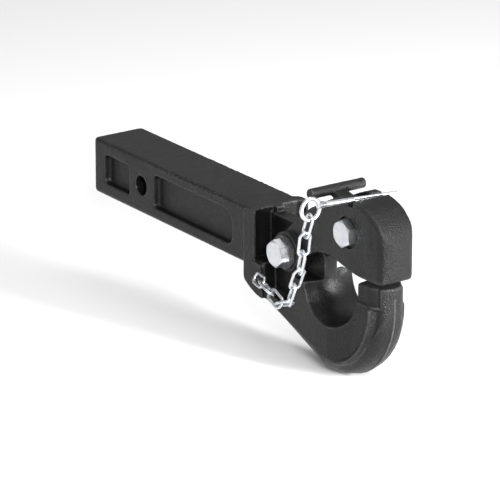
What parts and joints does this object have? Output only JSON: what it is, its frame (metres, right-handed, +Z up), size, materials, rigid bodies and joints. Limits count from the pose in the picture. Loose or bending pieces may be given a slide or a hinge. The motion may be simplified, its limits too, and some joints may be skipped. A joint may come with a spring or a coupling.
{
  "type": "pintle hook",
  "caption": "Receiver-mount pintle hook: square shank with hitch pin hole, open horn, hinged upper jaw, sprung lock lever with T-handle, cotter safety pin on a chain.",
  "frame": {"origin": "centre of the hitch pin hole, on the shank's centre line", "axes": "+X along the shank towards the hook, +Y along the hitch pin hole to the far side, +Z up"},
  "size_m": [0.4193, 0.1079, 0.17],
  "materials": {
    "black_coated_steel": "satin black coating over cast steel",
    "zinc_plated_steel": "bright zinc plating",
    "spring_steel": "oiled spring steel"
  },
  "bodies": {
    "hook_frame": {"hook_body": "black_coated_steel", "rear_pivot_bolt": "zinc_plated_steel", "rear_pivot_nut": "zinc_plated_steel", "rear_near_washer": "black_coated_steel", "rear_far_washer": "zinc_plated_steel", "chain_stud": "black_coated_steel"},
    "jaw": {"upper_jaw": "black_coated_steel", "front_pivot_bolt": "zinc_plated_steel", "front_split_washer": "zinc_plated_steel", "front_pivot_nut": "zinc_plated_steel", "lever_spring": "spring_steel"},
    "lever": {"lock_lever": "black_coated_steel"},
    "pin": {"safety_pin": "zinc_plated_steel"},
    "chain_body_1": {"chain_link_1": "zinc_plated_steel"},
    "chain_body_2": {"chain_link_2": "zinc_plated_steel"},
    "chain_body_3": {"chain_link_3": "zinc_plated_steel"},
    "chain_body_4": {"chain_link_4": "zinc_plated_steel"},
    "chain_body_5": {"chain_link_5": "zinc_plated_steel"},
    "chain_body_6": {"chain_link_6": "zinc_plated_steel"},
    "chain_body_7": {"chain_link_7": "zinc_plated_steel"},
    "chain_body_8": {"chain_link_8": "zinc_plated_steel"},
    "chain_body_9": {"chain_link_9": "zinc_plated_steel"}
  },
  "joints": [
    {"name": "jaw_open", "type": "hinge", "parent": "hook_frame", "child": "jaw", "pos_m": [0.2145, 0, 0], "axis": [0, -1, 0], "range_deg": [0, 65]},
    {"name": "lock_lift", "type": "hinge", "parent": "jaw", "child": "lever", "pos_m": [0.2945, 0, 0.0382], "axis": [0, 1, 0], "range_deg": [0, 20], "deforming": ["lever_spring"]},
    {"name": "pin_pull", "type": "slide", "parent": "jaw", "child": "pin", "axis": [0, -0.9982, 0.0593], "range_m": [0, 0.06]},
    {"name": "chain_swing_1", "type": "hinge", "parent": "pin", "child": "chain_body_1", "pos_m": [0.2981, -0.05655, 0.05776], "axis": [0, 1, 0], "range_deg": [0, 65.5]},
    {"name": "chain_swing_2", "type": "hinge", "parent": "chain_body_1", "child": "chain_body_2", "pos_m": [0.29092, -0.05633, 0.04284], "axis": [-0.9604, 0, 0.2786], "range_deg": [0, 12]},
    {"name": "chain_swing_3", "type": "hinge", "parent": "chain_body_2", "child": "chain_body_3", "pos_m": [0.28573, -0.05467, 0.02495], "axis": [-0.9302, 0, 0.367], "range_deg": [0, 12]},
    {"name": "chain_swing_4", "type": "hinge", "parent": "chain_body_3", "child": "chain_body_4", "pos_m": [0.27889, -0.05316, 0.00761], "axis": [-0.8817, 0, 0.4719], "range_deg": [0, 12]},
    {"name": "chain_swing_5", "type": "hinge", "parent": "chain_body_4", "child": "chain_body_5", "pos_m": [0.27008, -0.05218, -0.00885], "axis": [-0.8715, 0, 0.4904], "range_deg": [0, 12]},
    {"name": "chain_swing_6", "type": "hinge", "parent": "chain_body_5", "child": "chain_body_6", "pos_m": [0.26093, -0.05084, -0.02511], "axis": [-0.4003, 0, 0.9164], "range_deg": [0, 12]},
    {"name": "chain_swing_7", "type": "hinge", "parent": "chain_body_6", "child": "chain_body_7", "pos_m": [0.24399, -0.04802, -0.03251], "axis": [0.2188, 0, 0.9758], "range_deg": [0, 12]},
    {"name": "chain_swing_8", "type": "hinge", "parent": "chain_body_7", "child": "chain_body_8", "pos_m": [0.22602, -0.04478, -0.02848], "axis": [0.1423, 0, 0.9898], "range_deg": [0, 12]},
    {"name": "chain_swing_9", "type": "hinge", "parent": "chain_body_8", "child": "chain_body_9", "pos_m": [0.20801, -0.04048, -0.02589], "axis": [-0.067, 0, 0.9978], "range_deg": [0, 12]}
  ],
  "couplings": [
    {"joint": "lock_lift", "follows": "jaw_open", "ratio": 0.30769},
    {"joint": "chain_swing_1", "follows": "jaw_open", "ratio": 1}
  ]
}
